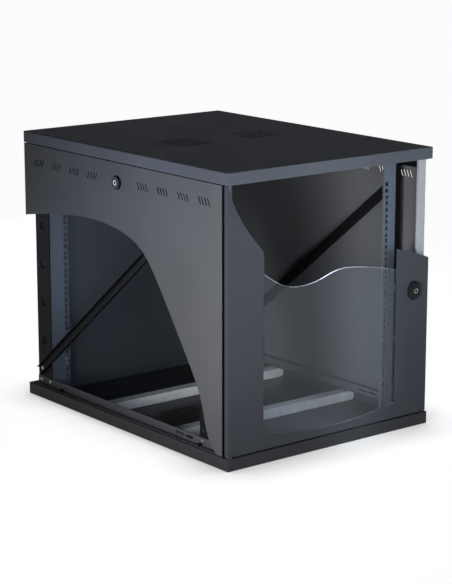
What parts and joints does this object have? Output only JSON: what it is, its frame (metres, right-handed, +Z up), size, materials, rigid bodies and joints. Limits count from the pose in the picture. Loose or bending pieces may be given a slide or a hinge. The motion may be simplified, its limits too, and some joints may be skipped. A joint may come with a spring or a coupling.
{
  "type": "wall mount network cabinet",
  "caption": "Wall-mounted box-shaped equipment cabinet with a cut-open glazed door, lift-off side panels, square-hole rack rails and vent grilles.",
  "frame": {"origin": "middle of the tray's flat underside", "axes": "+Z up, +Y towards the wall, the door faces -Y, +X to the right when facing the door"},
  "size_m": [0.6086, 0.8068, 0.66],
  "materials": {
    "cover_coat": "fine-grained powder coat, near black",
    "tray_coat": "fine-grained powder coat, near black",
    "panel_coat": "fine-grained powder coat, dark grey",
    "back_coat": "fine-grained powder coat, near black",
    "door_coat": "fine-grained powder coat, blue-grey",
    "frame_coat": "satin black coat",
    "rail_coat": "satin blue-grey coat",
    "zinc": "zinc-plated sheet, dull bright",
    "screw_zinc": "zinc-plated, satin",
    "lock_black": "satin black die-cast",
    "lock_bright": "bright plated",
    "glass": "tinted tempered glass",
    "tape": "black foam tape",
    "brass": "satin brass",
    "black_plastic": "black moulded plastic",
    "spring_wire": "spring steel wire"
  },
  "bodies": {
    "cabinet": {"access_plugs": "black_plastic", "back_panel": "back_coat", "back_panel_screws": "screw_zinc", "base_tray": "tray_coat", "brace_bolts": "screw_zinc", "crossbar_front": "zinc", "crossbar_rear": "zinc", "depth_rail_bottom_left": "frame_coat", "depth_rail_bottom_right": "frame_coat", "depth_rail_top_left": "frame_coat", "depth_rail_top_right": "frame_coat", "diagonal_brace_left": "frame_coat", "diagonal_brace_right": "frame_coat", "door_post_left": "zinc", "door_post_right": "zinc", "earth_nuts": "brass", "earth_stud": "brass", "frame_bolts": "screw_zinc", "front_post_left": "frame_coat", "front_post_right": "frame_coat", "hinge_pin_lower": "screw_zinc", "panel_locating_pins": "screw_zinc", "rack_rail_front_left": "rail_coat", "rack_rail_front_right": "rail_coat", "rack_rail_rear_left": "rail_coat", "rack_rail_rear_right": "rail_coat", "rack_screws": "screw_zinc", "rear_post_left": "frame_coat", "rear_post_right": "frame_coat", "top_cover": "cover_coat", "wall_rail_lower": "zinc", "wall_rail_upper": "zinc"},
    "door": {"door_frame": "door_coat", "door_glass": "glass", "glass_tape": "tape", "glass_clips": "zinc", "glass_clip_nuts": "screw_zinc", "door_lock_housing": "lock_black", "door_lock_nut": "screw_zinc", "hinge_bracket_upper": "door_coat", "hinge_bush": "black_plastic", "hinge_spring": "spring_wire"},
    "door_lock": {"door_lock_plug": "lock_bright", "door_lock_cam": "screw_zinc", "door_lock_screw": "screw_zinc"},
    "hinge_pin": {"hinge_pin_upper": "screw_zinc"},
    "side_panel_left": {"side_panel_left": "panel_coat", "side_lock_housing_left": "lock_black", "side_lock_nut_left": "screw_zinc"},
    "side_lock_left": {"side_lock_plug_left": "lock_bright", "side_lock_cam_left": "screw_zinc", "side_lock_screw_left": "screw_zinc"},
    "side_panel_right": {"side_panel_right": "panel_coat", "side_lock_housing_right": "lock_black", "side_lock_nut_right": "screw_zinc"},
    "side_lock_right": {"side_lock_plug_right": "lock_bright", "side_lock_cam_right": "screw_zinc", "side_lock_screw_right": "screw_zinc"}
  },
  "joints": [
    {"name": "door_hinge", "type": "hinge", "parent": "cabinet", "child": "door", "pos_m": [-0.2895, -0.39025, 0.33], "axis": [0, 0, -1], "range_deg": [0, 180]},
    {"name": "door_lock_turn", "type": "hinge", "parent": "door", "child": "door_lock", "pos_m": [0.25, -0.4, 0.329], "axis": [0, -1, 0], "range_deg": [0, 90]},
    {"name": "hinge_pin_pull", "type": "slide", "parent": "door", "child": "hinge_pin", "axis": [0, 0, 1], "range_m": [-0.009, 0], "stiffness_N_per_m": 300, "springref_m": 0.01, "deforming": ["hinge_spring"]},
    {"name": "side_panel_left_tilt", "type": "hinge", "parent": "cabinet", "child": "side_panel_left", "pos_m": [-0.2985, 0.0114, 0.0303], "axis": [0, -1, 0], "range_deg": [0, 20]},
    {"name": "side_lock_left_turn", "type": "hinge", "parent": "side_panel_left", "child": "side_lock_left", "pos_m": [-0.29, 0.01, 0.585], "axis": [1, 0, 0], "range_deg": [0, 90]},
    {"name": "side_panel_right_tilt", "type": "hinge", "parent": "cabinet", "child": "side_panel_right", "pos_m": [0.2985, 0.0114, 0.0303], "axis": [0, 1, 0], "range_deg": [0, 20]},
    {"name": "side_lock_right_turn", "type": "hinge", "parent": "side_panel_right", "child": "side_lock_right", "pos_m": [0.29, 0.01, 0.585], "axis": [1, 0, 0], "range_deg": [0, 90]}
  ]
}
